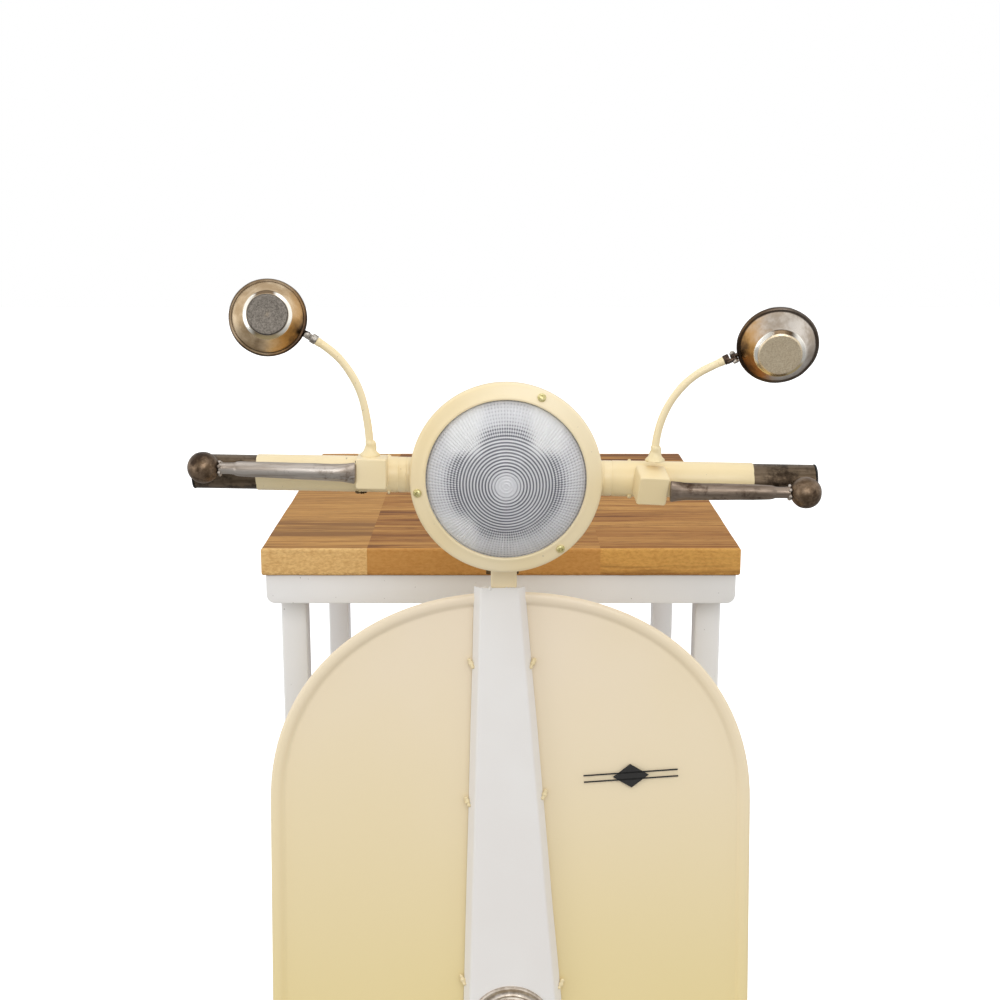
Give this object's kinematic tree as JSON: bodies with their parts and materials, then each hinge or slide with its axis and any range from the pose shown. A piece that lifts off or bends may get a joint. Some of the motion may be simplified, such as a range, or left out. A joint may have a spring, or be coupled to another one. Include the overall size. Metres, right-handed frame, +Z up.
{
  "type": "scooter-front console table",
  "caption": "Bar or console table with a wooden top on a square-tube frame, fronted by a motor-scooter leg shield, headlight, handlebar, mirrors, mudguard and wheel.",
  "frame": {"origin": "on the floor, at the middle of the whole object's length and width", "axes": "+Z up; the scooter front and its wheel face -Y and the wooden top reaches towards +Y; +X is on the right of somebody who faces the front"},
  "size_m": [0.6266, 1.063, 1.3347],
  "materials": {
    "cream_paint": "satin-gloss cream paint on sheet steel",
    "white_paint": "satin white paint on steel tube",
    "mango_wood": "waxed mango wood, glued staves",
    "bare_steel": "bare lacquered steel with heat stains",
    "brown_steel": "heat-browned steel under clear lacquer",
    "black_plastic": "black moulded plastic",
    "lens_glass": "clear pressed prismatic glass",
    "reflector_silver": "silvered reflector",
    "mirror_glass": "silvered glass",
    "tyre_rubber": "black tyre rubber"
  },
  "bodies": {
    "stand": {"table_top": "mango_wood", "apron_front": "white_paint", "apron_back": "white_paint", "apron_left": "white_paint", "apron_right": "white_paint", "leg_front_left": "white_paint", "foot_front_left": "black_plastic", "leg_front_right": "white_paint", "foot_front_right": "black_plastic", "leg_back_left": "white_paint", "foot_back_left": "black_plastic", "leg_back_right": "white_paint", "foot_back_right": "black_plastic", "shelf_board": "mango_wood", "shelf_rail_front": "white_paint", "shelf_rail_back": "white_paint", "shield_panel_left": "cream_paint", "shield_panel_right": "cream_paint", "centre_strip": "white_paint", "steering_column": "cream_paint", "horn_disc": "bare_steel", "strut_upper_left": "white_paint", "strut_upper_right": "white_paint", "strut_lower_left": "white_paint", "strut_lower_right": "white_paint", "headlight_shell": "cream_paint", "headlight_ring": "cream_paint", "headlight_lens": "lens_glass", "reflector": "reflector_silver", "ring_screw_1": "cream_paint", "ring_screw_2": "cream_paint", "ring_screw_3": "cream_paint", "bar_tube_left": "bare_steel", "bar_sleeve_left": "cream_paint", "bar_cap_left": "black_plastic", "bar_tube_right": "bare_steel", "bar_sleeve_right": "cream_paint", "bar_cap_right": "black_plastic", "clamp_left": "cream_paint", "lever_left": "bare_steel", "lever_ball_left": "brown_steel", "clamp_right": "cream_paint", "lever_right": "bare_steel", "lever_ball_right": "brown_steel", "mirror_arm_left": "cream_paint", "mirror_arm_right": "cream_paint", "axle_bolt": "bare_steel", "axle_nut": "bare_steel", "front_fork": "cream_paint", "mudguard": "cream_paint"},
    "front_wheel": {"wheel_rim": "white_paint", "tyre": "tyre_rubber"},
    "mirror_left_knuckle": {"mirror_bracket_left": "brown_steel", "mirror_bolt_left": "bare_steel"},
    "mirror_left_head": {"mirror_shell_left": "brown_steel", "mirror_glass_left": "mirror_glass"},
    "mirror_right_knuckle": {"mirror_bracket_right": "brown_steel", "mirror_bolt_right": "bare_steel"},
    "mirror_right_head": {"mirror_shell_right": "brown_steel", "mirror_glass_right": "mirror_glass"}
  },
  "joints": [
    {"name": "wheel_spin", "type": "hinge", "parent": "stand", "child": "front_wheel", "pos_m": [0.006, -0.3615, 0.17], "axis": [1, 0, 0], "continuous": true},
    {"name": "mirror_left_swivel", "type": "hinge", "parent": "stand", "child": "mirror_left_knuckle", "pos_m": [-0.17905, -0.2415, 1.27175], "axis": [-0.8336, 0, 0.5524], "range_deg": [-40, 40]},
    {"name": "mirror_left_tilt", "type": "hinge", "parent": "mirror_left_knuckle", "child": "mirror_left_head", "pos_m": [-0.19239, -0.2415, 1.28059], "axis": [0, -1, 0], "range_deg": [-30, 30]},
    {"name": "mirror_right_swivel", "type": "hinge", "parent": "stand", "child": "mirror_right_knuckle", "pos_m": [0.20872, -0.2415, 1.25301], "axis": [0.908, 0, 0.4191], "range_deg": [-40, 40]},
    {"name": "mirror_right_tilt", "type": "hinge", "parent": "mirror_right_knuckle", "child": "mirror_right_head", "pos_m": [0.22325, -0.2415, 1.25972], "axis": [0.3679, -0.4788, -0.7971], "range_deg": [-30, 30]}
  ]
}
